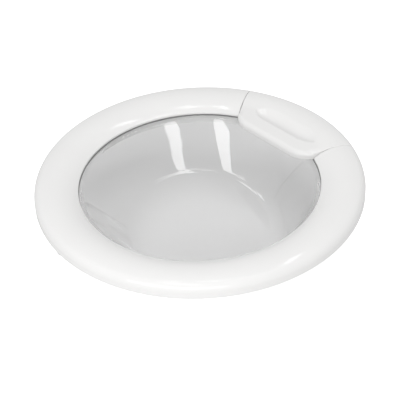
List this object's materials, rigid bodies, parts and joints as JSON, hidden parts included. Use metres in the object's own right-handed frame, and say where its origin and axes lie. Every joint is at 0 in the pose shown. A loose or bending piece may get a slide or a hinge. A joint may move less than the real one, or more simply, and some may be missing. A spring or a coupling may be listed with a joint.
{
  "type": "washing machine door",
  "caption": "Round porthole door of a front-loading washing machine: domed white ring, clear slanted glass bowl, pull handle with a finger scoop, latch hook and side hinge.",
  "frame": {"origin": "on the ring's axis, at the level of the glass bowl's deepest point, with the door lying glass down", "axes": "+Z along the ring's axis towards the front; +X towards the handle, -X towards the hinge; -Y towards the bowl's deep side"},
  "size_m": [0.455, 0.4548, 0.1215],
  "materials": {
    "white_gloss": "gloss",
    "white_satin": "satin",
    "clear_glass": "polished",
    "grey_rubber": "matte",
    "plated_steel": "zinc plated",
    "bright_steel": "ground",
    "spring_steel": "drawn",
    "grey_plastic": "matte"
  },
  "bodies": {
    "cabinet_side": {"hinge_cabinet_leaf": "plated_steel", "hinge_pin": "bright_steel", "hinge_clip": "bright_steel", "hinge_bush_upper": "grey_plastic", "hinge_bush_lower": "grey_plastic"},
    "door": {"outer_frame": "white_gloss", "inner_frame": "white_satin", "door_glass": "clear_glass", "glass_gasket": "grey_rubber", "handle_pin": "bright_steel", "pin_clips": "bright_steel", "handle_spring": "spring_steel", "hinge_door_leaf": "plated_steel", "hinge_screws": "plated_steel", "frame_screws": "plated_steel"},
    "handle": {"handle": "white_gloss", "hook_spring": "spring_steel"},
    "hook": {"latch_hook": "bright_steel"}
  },
  "joints": [
    {"name": "door_swing", "type": "hinge", "parent": "cabinet_side", "child": "door", "pos_m": [-0.218, 0.015, 0.09497], "axis": [0, -1, 0], "range_deg": [0, 105]},
    {"name": "handle_pull", "type": "hinge", "parent": "door", "child": "handle", "pos_m": [0.206, 0, 0.10297], "axis": [0, 1, 0], "range_deg": [0, 12], "stiffness_Nm_per_rad": 2, "springref_deg": -17.19, "deforming": ["handle_spring"]},
    {"name": "latch_snap", "type": "hinge", "parent": "handle", "child": "hook", "pos_m": [0.206, 0, 0.10297], "axis": [0, 1, 0], "range_deg": [0, 12], "stiffness_Nm_per_rad": 0.5, "springref_deg": -17.19, "deforming": ["hook_spring"]}
  ]
}
